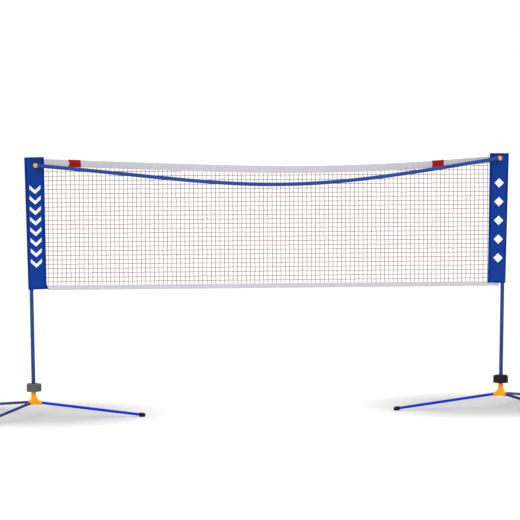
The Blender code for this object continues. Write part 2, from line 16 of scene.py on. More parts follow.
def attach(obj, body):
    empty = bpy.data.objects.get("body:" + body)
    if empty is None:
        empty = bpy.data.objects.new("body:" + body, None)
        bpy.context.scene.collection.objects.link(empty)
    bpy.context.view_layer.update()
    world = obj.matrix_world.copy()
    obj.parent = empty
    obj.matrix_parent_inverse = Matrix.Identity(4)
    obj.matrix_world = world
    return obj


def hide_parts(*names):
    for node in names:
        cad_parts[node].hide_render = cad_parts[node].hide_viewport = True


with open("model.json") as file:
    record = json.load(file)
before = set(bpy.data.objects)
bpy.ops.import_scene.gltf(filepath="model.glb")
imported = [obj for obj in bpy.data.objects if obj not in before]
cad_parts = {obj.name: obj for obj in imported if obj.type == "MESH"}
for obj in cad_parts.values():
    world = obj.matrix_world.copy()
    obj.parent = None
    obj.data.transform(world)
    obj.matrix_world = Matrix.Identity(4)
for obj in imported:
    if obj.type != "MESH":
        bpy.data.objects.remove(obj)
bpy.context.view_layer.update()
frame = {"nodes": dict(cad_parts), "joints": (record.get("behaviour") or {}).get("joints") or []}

# ---- the CAD's dimensions
SIDES = {"left": -1, "right": 1}
LEGS = ("inner", "front", "back")
JOINTS = {joint["name"]: joint for joint in frame["joints"]}
PIVOT = {side: Vector(JOINTS[f"{side}_base_swivel"]["pos_m"]) for side in SIDES}
HEIGHT = 1.550
POLE_LEAN = radians(0.8)
POLE_SPACING = PIVOT["right"].x - PIVOT["left"].x
PIVOT_Z = PIVOT["left"].z
NET = Matrix.Translation(((PIVOT["left"].x + PIVOT["right"].x) / 2, PIVOT["left"].y, 0))
GAP = 0.0003

POLE_RADIUS, POLE_WALL = 0.0117, 0.0012
POLE_FOOT_Z, POLE_SEAM_Z, POLE_TOP_Z = 0.104, 0.860, 1.538
LEG_AXIS_Z, ARM_REACH, ARM_HOLE_START = 0.093, 0.049, 0.020
NECK_RADIUS, NECK_TOP_Z, BORE_RADIUS, BORE_FLOOR_Z = 0.0148, 0.186, 0.0128, 0.1035
LEG_RADIUS, LEG_WALL, LEG_START, LEG_END = 0.0083, 0.0010, 0.0203, 0.6553
FOOT_START, FOOT_END, FOOT_RADIUS = 0.6320, 0.6705, 0.0132
NUT_BOTTOM_Z, NUT_TOP_Z, NUT_ROOF_Z = 0.155, 0.203, 0.1951
NUT_RADIUS, NUT_LOBE, NUT_LOBES, NUT_HOLE_RADIUS = 0.0425, 0.0040, 5, 0.0134

SLEEVE_BOTTOM_Z = 0.764
SLEEVE_INWARD, SLEEVE_OUTWARD_TOP, SLEEVE_OUTWARD_BOTTOM = 0.0904, 0.0265, 0.0185
SLEEVE_FLARE = {"left": 0.011, "right": 0.002}
FLARE_RISE, TUNNEL_RADIUS, CLOTH, HEM_HALF = 0.040, 0.0142, 0.0012, 0.0030

BALL_Z = {"left": 1.502, "right": 1.521}
BALL_INWARD, BALL_FORWARD, BALL_RADIUS, STUD_RADIUS = 0.0365, 0.036, 0.0070, 0.0035
BAR_RADIUS, BAR_BORE, BAR_CORE, BAR_SAG = 0.0112, 0.0096, 0.0093, 0.130
BAR_MODES = (1.0, -0.07, -0.04)
BAR_SECTIONS, BAR_START = 4, 0.0098
SOCKET_RADIUS, SOCKET_HALF, SOCKET_FLAT = 0.0132, 0.0100, 0.0092

TAPE_END_Z = {"left": 1.543, "right": 1.538}
TAPE_SAG, TAPE_SKEW, TAPE_WIDTH, TAPE_HALF = 0.054, -0.14, 0.042, 0.0016
FOOT_TAPE_Z = {"left": 0.7725, "right": 0.7605}
FOOT_TAPE_WIDTH, FOOT_TAPE_TAIL_X, FOOT_TAPE_TAIL_TOP = 0.028, 1.4055, 0.7625
MARKERS = {"left": (-1.2065, -1.1295), "right": (0.9926, 1.0666)}
MARKER_DROP, MARKER_BEAD = 0.0008, 0.0029  # how far it reaches below the tape, and its fold's radius
MARKER_CLOTH = 0.0008

# ---- what only the looks need
CORD_RADIUS = 0.0016
CORD_PRESSED = 0.0008  # half the depth of a cord where a tape's two layers hold it
MESH_X = (-1.3245, 1.3347)  # the first and last upright cord
MESH_COLUMNS = 102
MESH_PITCH = 0.0262
MESH_FIRST = 0.021  # the lowest level cord above the bottom tape
MESH_MARGIN = 0.003  # the least gap between the top tape and the highest knots
CORD_TUCKS = (0.006, 0.009)  # how far upright cords run into the bottom and the top tape
KNOT_SIZE = (0.0026, 0.0022, 0.0026)
KNOT_STRAY, CORD_STRAY = (0.0006, 0.0005, 0.0006), (0.0003, 0.0003, 0.0003)
TUCK = 0.004  # how far tapes and cords run in between a sleeve's layers
HEM, HEM_BOTTOM, HEM_TOP = 0.013, 0.012, 0.009  # how wide the cloth is folded over, at its sides and ends
HEM_FOLD = 0.0004  # how far a fold stands out
OUTER_EDGE_HALF = 0.0013
CLOSING = 0.010  # height over which the pocket is drawn together at its top
SLEEVE_LEVELS = 170
SLEEVE_COLUMNS = 52  # columns of the cloth's mesh from its outer edge to its net-side edge
HEM_COLUMNS = (9, 6)  # how many of them are folded over, at the outer edge and at the net side
MOTIF_X = 0.0325  # middle of the printed pattern, from the pole's axis
CHEVRONS, CHEVRON_TOP, CHEVRON_PITCH, CHEVRON_REACH = 8, 1.384, 0.0625, 0.033
DIAMONDS, DIAMOND_TOP, DIAMOND_PITCH, DIAMOND_TALL, DIAMOND_WIDE = 5, 1.3705, 0.1136, 0.029, 0.028
PRINT_LIFTS = (0.00012, 0.00034)  # the print's underside and face, above the cloth
TAPE_LAYER, TAPE_BEAD, FOOT_TAPE_BEAD = 0.0007, 0.0022, 0.0018
TAPE_SEED, FOOT_TAPE_SEED = 2.0, 9.0  # which waviness each tape gets
TAPE_STATIONS, FOOT_TAPE_STATIONS = 320, 300
TAPE_SEAMS = (0.0065, TAPE_WIDTH - 0.0035)  # rows of stitches, down from the tape's top
FOOT_TAPE_SEAMS = (0.0035, 0.0225)
STITCH_RADIUS, STITCH_PITCH, TAPE_STITCH_PITCH = 0.00045, 0.0036, 0.0042
SEAM_INSET = 0.0105  # from a sleeve's edge to its upright seam
FLOOR_SHADE = (0.84, 0.76, 1.0)  # how far the painted shade on the floor under each stand reaches along x and y
FLOOR_SHADE_BACK = 0.15  # how far its middle lies behind the net
FLOOR_SHADE_CORE = 0.5  # share of that reach over which it is full
FLOOR_SHADE_DEPTH = 0.5
FLOOR_SHADE_INWARD = 0.06
FLOOR_SHADE_TONE = (0.30, 0.30, 0.30, 1)
FLOOR_RADIUS = 140
SUN_ENERGY, SUN_SIZE, SUN_TURN = 0.8, radians(35), (radians(48), 0, radians(-28))

FOLDS, CREASES, PULLS, PUCKERS = 0.0016, 0.0009, 0.0010, 0.00035  # how far each moves the sleeves' cloth
HUB_VOXEL, KNUCKLE_VOXEL = 0.0011, 0.00045

CAMERA_PLACE = (-2.9546, -20.0421, 2.4144)
CAMERA_YAW, CAMERA_PITCH, CAMERA_ROLL = (radians(a) for a in (8.319, 4.220, -0.143))
CAMERA_LENS, CAMERA_SENSOR = 234.27, 36


# ---- frames
def clamped(value):
    return min(max(value, 0.0), 1.0)


def pole_frame(side):
    """Local x points to the net, y to the back and z up the leaning pole, from PIVOT_Z on its axis."""
    sign = SIDES[side]
    inward = Vector((-sign * cos(POLE_LEAN), 0, sin(POLE_LEAN)))
    axis = Vector((sign * sin(POLE_LEAN), 0, cos(POLE_LEAN)))
    made = Matrix((inward, Vector((0, 1, 0)), axis)).transposed().to_4x4()
    made.translation = PIVOT[side]
    return made


def leg_axis(side, leg):
    return Vector(JOINTS[f"{side}_{leg}_leg_pull"]["axis"])


def leg_turn(side, leg):
    axis = leg_axis(side, leg)
    return atan2(axis.y, axis.x)


def stand_frame(side, leg="inner"):
    """Local x points along a leg seen from above, z is up and the origin is on the floor under the hub."""
    place = Vector((PIVOT[side].x, PIVOT[side].y, 0))
    return Matrix.Translation(place) @ Matrix.Rotation(leg_turn(side, leg), 4, "Z")


def leg_frame(side, leg):
    """Local z runs out along a leg's axis, from the point where it meets the hub's axis."""
    slope = asin(-leg_axis(side, leg).z)
    lift = Matrix.Translation((0, 0, LEG_AXIS_Z))
    return stand_frame(side, leg) @ lift @ Matrix.Rotation(pi / 2 + slope, 4, "Y")


def pole_axis_x(side, z):
    return SIDES[side] * (POLE_SPACING / 2 + tan(POLE_LEAN) * (z - PIVOT_Z))


def sleeve_flare(side, z):
    share = (SLEEVE_BOTTOM_Z + FLARE_RISE - z) / FLARE_RISE
    return SLEEVE_FLARE[side] * clamped(share) ** 1.6


def sleeve_edge_x(side, z):
    return pole_axis_x(side, z) - SIDES[side] * (SLEEVE_INWARD + sleeve_flare(side, z))


def tape_top_z(x):
    left, right = pole_axis_x("left", HEIGHT), pole_axis_x("right", HEIGHT)
    share = (x - left) / (right - left)
    slack = sin(pi * share) + TAPE_SKEW * sin(2 * pi * share)
    return TAPE_END_Z["left"] * (1 - share) + TAPE_END_Z["right"] * share - TAPE_SAG * slack


def foot_tape_z(x):
    left, right = (sleeve_edge_x(side, SLEEVE_BOTTOM_Z) for side in SIDES)
    share = (x - left) / (right - left)
    return FOOT_TAPE_Z["left"] * (1 - share) + FOOT_TAPE_Z["right"] * share


def foot_tape_top_z(x):
    return foot_tape_z(x) + FOOT_TAPE_WIDTH / 2


def ball_centre(side):
    return pole_frame(side) @ Vector((BALL_INWARD, -BALL_FORWARD, BALL_Z[side] - PIVOT_Z))


def bar_point(share):
    chord = ball_centre("left").lerp(ball_centre("right"), share)
    waves = [part * sin((n + 1) * pi * share) for n, part in enumerate(BAR_MODES)]
    return chord - Vector((0, 0, BAR_SAG * sum(waves)))


def bar_axes(share, toward=1):
    """A frame on the bar with z along it, towards the right for 1 or the left for -1, and y to the back."""
    step = 1e-4
    along = (bar_point(share + step) - bar_point(share - step)).normalized() * toward
    back = Vector((0, 1, 0))
    made = Matrix((back.cross(along), back, along)).transposed().to_4x4()
    made.translation = bar_point(share)
    return made


# ---- mesh helpers
def sweep(start, end, steps):
    """Evenly spaced angles from start to end, with both."""
    return [start + (end - start) * k / steps for k in range(steps + 1)]


def circle(radius, z, count):
    """Points of a circle about Z; a radius of 0 gives the single point on the axis."""
    if radius == 0:
        return [Vector((0, 0, z))]
    turn = 2 * pi / count
    return [Vector((radius * cos(i * turn), radius * sin(i * turn), z)) for i in range(count)]


def skin(rings, closed=False, bm=None):
    """A closed body through rings of points, added to bm if given."""
    bm = bm or bmesh.new()
    loops = [[bm.verts.new(point) for point in ring] for ring in rings]
    pairs = list(zip(loops, loops[1:]))
    if closed:
        pairs.append((loops[-1], loops[0]))
    for low, high in pairs:
        count = max(len(low), len(high))
        for i in range(count):
            j = (i + 1) % count
            corners = [low[i % len(low)], low[j % len(low)], high[j % len(high)], high[i % len(high)]]
            bm.faces.new(dict.fromkeys(corners))
    if not closed:
        for end in (loops[0], loops[-1]):
            if len(end) > 2:
                bm.faces.new(end)
    return bm


def folded(rings):
    """A closed body through flat rings, with each end closed by faces between its ring's two halves."""
    bm = bmesh.new()
    loops = [[bm.verts.new(point) for point in ring] for ring in rings]
    count = len(loops[0])
    for low, high in zip(loops, loops[1:]):
        for i in range(count):
            j = (i + 1) % count
            bm.faces.new([low[i], low[j], high[j], high[i]])
    for ring in (loops[0], loops[-1]):
        for i in range(count // 2 - 1):
            bm.faces.new([ring[i], ring[i + 1], ring[count - 2 - i], ring[count - 1 - i]])
    return bm


def two_layered(under, over, bm):
    """Adds to bm a thin body between two grids of points, each a list of rows."""
    under, over = ([[bm.verts.new(point) for point in row] for row in grid] for grid in (under, over))
    rows, columns = len(under) - 1, len(under[0]) - 1
    for grid in (under, over):
        for r in range(rows):
            for k in range(columns):
                bm.faces.new([grid[r][k], grid[r][k + 1], grid[r + 1][k + 1], grid[r + 1][k]])
    border = [(0, k) for k in range(columns)] + [(r, columns) for r in range(rows)]
    border += [(rows, k) for k in range(columns, 0, -1)] + [(r, 0) for r in range(rows, 0, -1)]
    for (r, k), (s, m) in zip(border, border[1:] + border[:1]):
        bm.faces.new([under[r][k], under[s][m], over[s][m], over[r][k]])


def rounded(outline, radius, closed=False, steps=3):
    """The outline with each inner corner replaced by a short curve."""
    made = []
    for i, corner in enumerate(outline):
        if not closed and i in (0, len(outline) - 1):
            made.append(tuple(corner))
            continue
        here = Vector(corner)
        before = Vector(outline[i - 1]) - here
        after = Vector(outline[(i + 1) % len(outline)]) - here
        start = here + before.normalized() * min(radius, 0.45 * before.length)
        end = here + after.normalized() * min(radius, 0.45 * after.length)
        for k in range(steps + 1):
            t = k / steps
            point = start * (1 - t) ** 2 + here * 2 * t * (1 - t) + end * t ** 2
            made.append(tuple(point))
    return made


def turned(profile, count=48, closed=False):
    """A body turned about Z from (radius, z) points."""
    return skin([circle(max(radius, 0), z, count) for radius, z in profile], closed)


def drill(radius, start, end, count):
    """A cylinder along Z."""
    return turned([(0, start), (radius, start), (radius, end), (0, end)], count)


def tube(outer, inner, start, end, edge=0.0004, count=48):
    """An open-ended round tube along Z with its edges broken, ringed often enough to shade evenly."""
    outline = [(inner, start), (outer, start), (outer, end), (inner, end)]
    return turned(rounded(outline, edge, closed=True), count, closed=True)


def mesh_of(name, bm):
    """A mesh of bm's shape with its faces turned outwards; bm is used up."""
    bmesh.ops.recalc_face_normals(bm, faces=bm.faces)
    mesh = bpy.data.meshes.new(name)
    bm.to_mesh(mesh)
    bm.free()
    return mesh


def added(name, data):
    obj = bpy.data.objects.new(name, data)
    bpy.context.scene.collection.objects.link(obj)
    return obj


def piece(name, bm, body, finish, replaces=(), place=None, angle=35):
    """Adds bm, drawn in the frame place, as a smooth-shaded piece that rides on body."""
    mesh = mesh_of(name, bm)
    mesh.shade_smooth()
    mesh.set_sharp_from_angle(angle=radians(angle))
    obj = added(name, mesh)
    obj.matrix_world = place or Matrix.Identity(4)
    for one in finish if isinstance(finish, list) else [finish]:
        mesh.materials.append(one)
    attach(obj, body)
    if replaces:
        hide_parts(*replaces)
    return obj


def shaped(bm, voxel, passes, cutters):
    """bm as one moulded body: remeshed so that its parts flow together, then cut with sharp holes."""
    obj = added("shaping", mesh_of("shaping", bm))
    remesh = obj.modifiers.new("remesh", "REMESH")
    remesh.mode = "VOXEL"
    remesh.voxel_size = voxel
    smooth = obj.modifiers.new("smooth", "SMOOTH")
    smooth.iterations = passes
    helpers = []
    for cutter in cutters:
        helper = added("cutter", mesh_of("cutter", cutter))
        modifier = obj.modifiers.new("cut", "BOOLEAN")
        modifier.operation = "DIFFERENCE"
        modifier.object = helper
        helpers.append(helper)
    bpy.context.view_layer.update()
    made = bmesh.new()
    made.from_mesh(obj.evaluated_get(bpy.context.evaluated_depsgraph_get()).to_mesh())
    for used in [obj, *helpers]:
        bpy.data.objects.remove(used, do_unlink=True)
    return made


def stitches(bm, line, up, pitch=STITCH_PITCH):
    """Adds a row of thread stitches to bm along points line(t), t from 0 to 1, raised along up."""
    fine = [line(i / 200) for i in range(201)]
    length = sum((b - a).length for a, b in zip(fine, fine[1:]))
    count = max(2, round(length / pitch))
    for i in range(count):
        start, end = line((i + 0.14) / count), line((i + 0.86) / count)
        along = (end - start).normalized()
        side = along.cross(up).normalized()
        middle = (start + end) / 2 + up * STITCH_RADIUS * 0.9
        ring = [
            middle + up * STITCH_RADIUS,
            middle + side * STITCH_RADIUS,
            middle - up * STITCH_RADIUS,
            middle - side * STITCH_RADIUS,
        ]
        skin([[start], ring, [end]], bm=bm)


# ---- materials
def link_all(tree, node, inputs):
    """Sets each named input of node to a value, or links it to another node's socket."""
    for key, value in inputs.items():
        socket = node.inputs[key]
        if isinstance(value, bpy.types.NodeSocket):
            tree.links.new(value, socket)
        else:
            socket.default_value = value


def colour(rgb, share=1.0):
    return (*(channel * share for channel in rgb), 1.0)


class Paint:
    """A Principled material being built. Its methods add nodes and return their output sockets."""

    def __init__(self, name, **sockets):
        self.made = bpy.data.materials.new(name)
        self.made.use_nodes = True
        self.tree = self.made.node_tree
        self.shade(**sockets)
        self.place = self.add("TexCoord")["Object"]

    def add(self, kind, inputs=None, **settings):
        node = self.tree.nodes.new(f"ShaderNode{kind}")
        for key, value in settings.items():
            setattr(node, key, value)
        link_all(self.tree, node, inputs or {})
        return node.outputs

    def shade(self, **sockets):
        """Sets the shader's inputs, named with _ for a space, and returns the material."""
        inputs = {key.replace("_", " "): value for key, value in sockets.items()}
        link_all(self.tree, self.tree.nodes["Principled BSDF"], inputs)
        return self.made

    def stretched(self, place, scale):
        return self.add("Mapping", {"Vector": place, "Scale": scale})["Vector"]

    def speckle(self, scale, detail):
        return self.add("TexNoise", {"Vector": self.place, "Scale": scale, "Detail": detail})["Fac"]

    def drawn_out(self, scale, detail):
        """Speckle with its own scale along each axis."""
        place = self.stretched(self.place, scale)
        return self.add("TexNoise", {"Vector": place, "Scale": 1.0, "Detail": detail})["Fac"]

    def ramp(self, value, low, high, start=0.0, end=1.0):
        """value mapped from low..high to start..end."""
        inputs = {"Value": value, "From Min": low, "From Max": high, "To Min": start, "To Max": end}
        return self.add("MapRange", inputs)["Result"]

    def blend(self, share, first, second):
        return self.add("Mix", {0: share, 6: first, 7: second}, data_type="RGBA")[2]

    def mottle(self, value, low, high, rgb, dark, light):
        """rgb from its dark share to its light share as value goes from low to high."""
        return self.blend(self.ramp(value, low, high), colour(rgb, dark), colour(rgb, light))

    def bump(self, height, strength, distance):
        return self.add("Bump", {"Height": height, "Strength": strength, "Distance": distance})["Normal"]


def powder_coat(name, rgb, worn):
    """Powder-coated tube: orange peel, cloudy gloss and fine rubbed marks along the tube."""
    paint = Paint(name, Specular_IOR_Level=0.16)
    clouds = paint.speckle(9.0, 4.0)
    marks = paint.ramp(paint.drawn_out((700, 700, 14), 3.0), 0.68, 0.80, 0.0, 0.35)
    rubbed = paint.blend(marks, paint.mottle(clouds, 0.35, 0.7, rgb, 0.93, 1.07), colour(worn))
    gloss = paint.ramp(clouds, 0.3, 0.75, 0.36, 0.50)
    peel = paint.bump(paint.speckle(900.0, 1.0), 0.12, 0.0004)
    return paint.shade(Base_Color=rubbed, Roughness=gloss, Normal=peel)


def moulded(name, rgb, roughness, grain=2200.0, worn=None):
    """Moulded plastic: spark-eroded grain, faint flow marks and paler scuffs."""
    paint = Paint(name, Specular_IOR_Level=0.12)
    marks = paint.drawn_out((30, 30, 9), 4.0)
    scuffs = paint.ramp(paint.drawn_out((160, 160, 420), 4.0), 0.66, 0.80, 0.0, 0.4)
    pale = worn or [0.6 * channel + 0.06 for channel in rgb]
    face = paint.blend(scuffs, paint.mottle(marks, 0.3, 0.7, rgb, 0.95, 1.05), colour(pale))
    gloss = paint.ramp(marks, 0.25, 0.75, roughness - 0.05, roughness + 0.07)
    fine = paint.bump(paint.speckle(grain, 2.0), 0.22, 0.0003)
    return paint.shade(Base_Color=face, Roughness=gloss, Normal=fine)


def bare_steel(name):
    """Drawn and plated steel with fine lines across."""
    paint = Paint(name, Metallic=1.0)
    lines = paint.drawn_out((60, 60, 2600), 3.0)
    tone = paint.blend(lines, (0.40, 0.40, 0.41, 1), (0.52, 0.52, 0.52, 1))
    gloss = paint.ramp(lines, 0.3, 0.7, 0.24, 0.38)
    return paint.shade(Base_Color=tone, Roughness=gloss, Normal=paint.bump(lines, 0.10, 0.0002))


def woven(name, rgb, pitch, roughness=0.82, sheen=0.03, streaks=0.06):
    """Plain weave with threads pitch apart in the object's x and z, slightly streaked along the warp, with
    painted shade darkening the dips between threads.
    """
    tint = colour([min(1.0, channel + 0.25) for channel in rgb])
    fibres = {"Sheen_Weight": sheen, "Sheen_Roughness": 0.4, "Sheen_Tint": tint}
    paint = Paint(name, **fibres, Specular_IOR_Level=0.08)
    wave = {"Vector": paint.place, "Scale": 0.31416 / pitch, "Distortion": 0.3, "Detail": 1.0}
    warp = paint.add("TexWave", wave, bands_direction="X")["Fac"]
    weft = paint.add("TexWave", wave, bands_direction="Z")["Fac"]
    over = paint.add("TexChecker", {"Vector": paint.place, "Scale": 1 / pitch})["Fac"]
    height = paint.add("Mix", {0: over, 2: warp, 3: weft}, data_type="FLOAT")[0]
    soiling = paint.ramp(paint.speckle(7.0, 4.0), 0.35, 0.75, 0.0, 0.22)
    tone = paint.mottle(paint.drawn_out((260, 40, 5), 3.0), 0.3, 0.7, rgb, 1 - streaks, 1 + streaks)
    cloudy = paint.blend(soiling, tone, colour(rgb, 0.86))
    # painted shade: the dips of the weave between threads are darkened towards 0.55 of the cloth's colour
    valley_shade = paint.blend(paint.ramp(height, 0.0, 0.45, 0.28, 0.0), cloudy, colour(rgb, 0.55))
    gloss = paint.ramp(height, 0.0, 1.0, min(roughness + 0.1, 1.0), roughness - 0.06)
    return paint.shade(Base_Color=valley_shade, Roughness=gloss, Normal=paint.bump(height, 0.35, pitch * 0.5))


def twisted(name, rgb, strand):
    """Laid cord or sewing thread, with its strands running round it and painted shade in the grooves between
    them.
    """
    paint = Paint(name, Sheen_Weight=0.02, Specular_IOR_Level=0.08)
    wave = {"Vector": paint.place, "Scale": 0.31416 / strand, "Distortion": 1.2, "Detail": 1.0}
    strands = paint.add("TexWave", wave, bands_direction="DIAGONAL")["Fac"]
    batch = paint.speckle(16.0, 3.0)
    tone = paint.mottle(batch, 0.35, 0.65, rgb, 0.84, 1.14)
    # painted shade: the grooves between the strands are darkened towards 0.6 of the cord's colour
    groove_shade = paint.blend(paint.ramp(strands, 0.0, 0.4, 0.45, 0.0), tone, colour(rgb, 0.6))
    gloss = paint.ramp(batch, 0.3, 0.7, 0.74, 0.86)
    return paint.shade(Base_Color=groove_shade, Roughness=gloss, Normal=paint.bump(strands, 0.4, strand * 0.4))


PAINTS = {
    "pole": powder_coat("pole_coat", (0.014, 0.048, 0.190), (0.07, 0.12, 0.30)),
    "bar": powder_coat("bar_coat", (0.014, 0.054, 0.250), (0.08, 0.14, 0.36)),
    "inner_leg": powder_coat("inner_leg_coat", (0.000, 0.021, 0.500), (0.04, 0.10, 0.62)),
    "outer_leg": powder_coat("outer_leg_coat", (0.002, 0.022, 0.170), (0.05, 0.09, 0.30)),
}
ORANGE = moulded("orange_moulding", (0.980, 0.375, 0.001), 0.42, worn=(0.99, 0.44, 0.03))
NUTS = {
    "left": moulded("grey_moulding", (0.096, 0.096, 0.096), 0.55),
    "right": moulded("black_moulding", (0.012, 0.010, 0.008), 0.55),
}
BLACK = moulded("black_fitting", (0.020, 0.020, 0.020), 0.50)
RUBBER = moulded("foot_rubber", (0.011, 0.011, 0.011), 0.80, grain=1300.0, worn=(0.07, 0.065, 0.06))
STEEL = bare_steel("plated_steel")
SLEEVE = woven("sleeve_cloth", (0.005, 0.040, 0.265), 0.0009)
HEM_CLOTH = woven("sleeve_hem", (0.001, 0.021, 0.225), 0.0009)
PRINT = woven("sleeve_print", (0.860, 0.865, 0.880), 0.0009, roughness=0.6, sheen=0.0, streaks=0.02)
TAPE = woven("tape_weave", (0.580, 0.565, 0.605), 0.0011, streaks=0.09)
BAND = woven("marker_weave", (0.370, 0.008, 0.006), 0.0010)
CORD = twisted("net_cord", (0.270, 0.070, 0.072), 0.0016)
BLUE_THREAD = twisted("blue_thread", (0.030, 0.090, 0.430), 0.0004)
WHITE_THREAD = twisted("white_thread", (0.720, 0.710, 0.740), 0.0004)
RED_THREAD = twisted("red_thread", (0.620, 0.050, 0.045), 0.0004)


# ---- stands
def arm_rings(turn):
    """One arm of the hub, lofted out from inside the neck, with a bead round its mouth."""
    stations = (  # distance out, half width, underside, top
        (0.000, 0.0100, 0.0790, 0.1270),
        (0.013, 0.0112, 0.0780, 0.1262),
        (0.023, 0.0119, 0.0764, 0.1125),
        (0.034, 0.0120, 0.0757, 0.1010),
        (0.0425, 0.0119, 0.0752, 0.0988),
        (0.0445, 0.0126, 0.0745, 0.0994),
        (ARM_REACH - 0.0006, 0.0126, 0.0744, 0.0993),
        (ARM_REACH, 0.0120, 0.0750, 0.0987),
    )
    rings = []
    for out, half, low, high in stations:
        centre, rise = (low + high) / 2, (high - low) / 2
        ring = [turn @ Vector((out, half * p.x, centre + rise * p.y)) for p in circle(1.0, 0, 32)]
        rings.append(ring)
    return rings


def add_hub(side):
    """A one-piece moulding: a neck that flares into three arms."""
    frame_here = stand_frame(side)
    core = (
        (0.0, 0.0782),
        (0.0190, 0.0770),
        (0.0205, 0.0850),
        (0.0195, 0.0980),
        (0.0165, 0.1120),
        (NECK_RADIUS, 0.1270),
        (NECK_RADIUS, NECK_TOP_Z - 0.0008),
        (NECK_RADIUS - 0.0008, NECK_TOP_Z),
        (0.0, NECK_TOP_Z),
    )
    bm = turned(core, 48)
    into = frame_here.inverted()
    cutters = []
    for leg in LEGS:
        turn = Matrix.Rotation(leg_turn(side, leg) - leg_turn(side, "inner"), 4, "Z")
        skin(arm_rings(turn), bm=bm)
        cutter = drill(LEG_RADIUS + GAP, ARM_HOLE_START, ARM_REACH + 0.011, 48)
        cutter.transform(into @ leg_frame(side, leg))
        cutters.append(cutter)
    cutters.append(drill(BORE_RADIUS, BORE_FLOOR_Z, NECK_TOP_Z + 0.014, 64))
    made = shaped(bm, HUB_VOXEL, 4, cutters)
    node = f"{side}_hub"
    piece(f"{side}_hub_moulding", made, f"{side}_base", ORANGE, [node], frame_here, 40)


def add_leg(side, leg):
    place = leg_frame(side, leg)
    finish = PAINTS["inner_leg" if leg == "inner" else "outer_leg"]
    bm = tube(LEG_RADIUS, LEG_RADIUS - LEG_WALL, LEG_START, LEG_END, count=32)
    body = f"{side}_{leg}_leg"
    piece(f"{side}_{leg}_leg_tube", bm, body, finish, [f"{side}_leg_{leg}"], place)


def add_foot(side, leg):
    """A rubber cap with gripping ribs and a round nose, flattened where it stands."""
    hole, groove, rib = LEG_RADIUS + GAP, 0.0118, 0.0126
    outline = [
        (0.0, LEG_END + GAP),
        (hole, LEG_END + GAP),
        (hole, FOOT_START),
        (0.0102, FOOT_START),
        (groove, FOOT_START + 0.0025),
    ]
    for k in range(4):
        start = FOOT_START + 0.0045 + 0.0042 * k
        outline += [(groove, start), (rib, start + 0.0008), (rib, start + 0.0024), (groove, start + 0.0032)]
    nose = FOOT_END - 0.0165
    outline += [(FOOT_RADIUS - 0.0004, nose), (FOOT_RADIUS, nose + 0.0035)]
    for angle in sweep(0, pi / 2, 6)[1:]:
        outline.append((FOOT_RADIUS * cos(angle), nose + 0.0035 + 0.013 * sin(angle)))
    outline[-1] = (0.0, FOOT_END)
    bm = turned(rounded(outline, 0.0005, steps=2), 40)
    bm.transform(leg_frame(side, leg))
    for vert in bm.verts:
        vert.co.z = max(vert.co.z, 0.0)
    body = f"{side}_{leg}_leg"
    piece(f"{side}_{leg}_foot_cap", bm, body, RUBBER, [f"{side}_foot_{leg}"])


def add_nut(side):
    """A hand nut with five lobes, fine grip flutes and a dished top."""
    count = 240
    thread = NECK_RADIUS + 0.0005

    def lobed(shrink, z, flute=0.0):
        ring = []
        for i in range(count):
            angle = 2 * pi * i / count
            groove = flute * (0.5 + 0.5 * cos(60 * angle)) ** 2
            radius = NUT_RADIUS + NUT_LOBE * cos(NUT_LOBES * angle) - shrink - groove
            ring.append(Vector((radius * cos(angle), radius * sin(angle), z)))
        return ring

    rings = [circle(thread, NUT_BOTTOM_Z + 0.002, count), circle(thread + 0.001, NUT_BOTTOM_Z, count)]
    rim_z = NUT_TOP_Z - 0.001
    edge = 0.0046
    quarter = sweep(0, pi / 2, 5)
    rings += [lobed(edge * (1 - sin(a)), NUT_BOTTOM_Z + edge * (1 - cos(a))) for a in quarter]
    low, high = NUT_BOTTOM_Z + edge, rim_z - edge
    steps = 10
    for k in range(1, steps):
        depth = 0.0009 * min(1.0, 3.0 * min(k, steps - k) / steps)
        rings.append(lobed(0.0, low + (high - low) * k / steps, depth))
    rings += [lobed(edge * (1 - cos(a)), high + edge * sin(a)) for a in quarter]
    rings += [circle(radius, z, count) for radius, z in (
        (0.0300, rim_z),
        (0.0285, rim_z - 0.0012),
        (0.0215, rim_z - 0.0012),
        (0.0200, NUT_TOP_Z - 0.0002),
        (0.0190, NUT_TOP_Z),
        (NUT_HOLE_RADIUS + 0.0005, NUT_TOP_Z),
        (NUT_HOLE_RADIUS, NUT_TOP_Z - 0.0006),
        (NUT_HOLE_RADIUS, NUT_ROOF_Z),
        (thread, NUT_ROOF_Z),
    )]
    bm = skin(rings, closed=True)
    nodes = [f"{side}_locking_nut"]
    piece(f"{side}_nut_moulding", bm, f"{side}_nut", NUTS[side], nodes, stand_frame(side), 50)


def add_poles(side):
    place = pole_frame(side)
    bore = POLE_RADIUS - POLE_WALL
    low, seam, high = (z - PIVOT_Z for z in (POLE_FOOT_Z, POLE_SEAM_Z, POLE_TOP_Z))
    lower, upper = tube(POLE_RADIUS, bore, low, seam), tube(POLE_RADIUS, bore, seam + GAP, high)
    body = f"{side}_lower_pole"
    piece(f"{side}_lower_tube", lower, body, PAINTS["pole"], [body], place)
    node = f"{side}_upper_pole"
    piece(f"{side}_upper_tube", upper, "net_frame", PAINTS["pole"], [node], place)


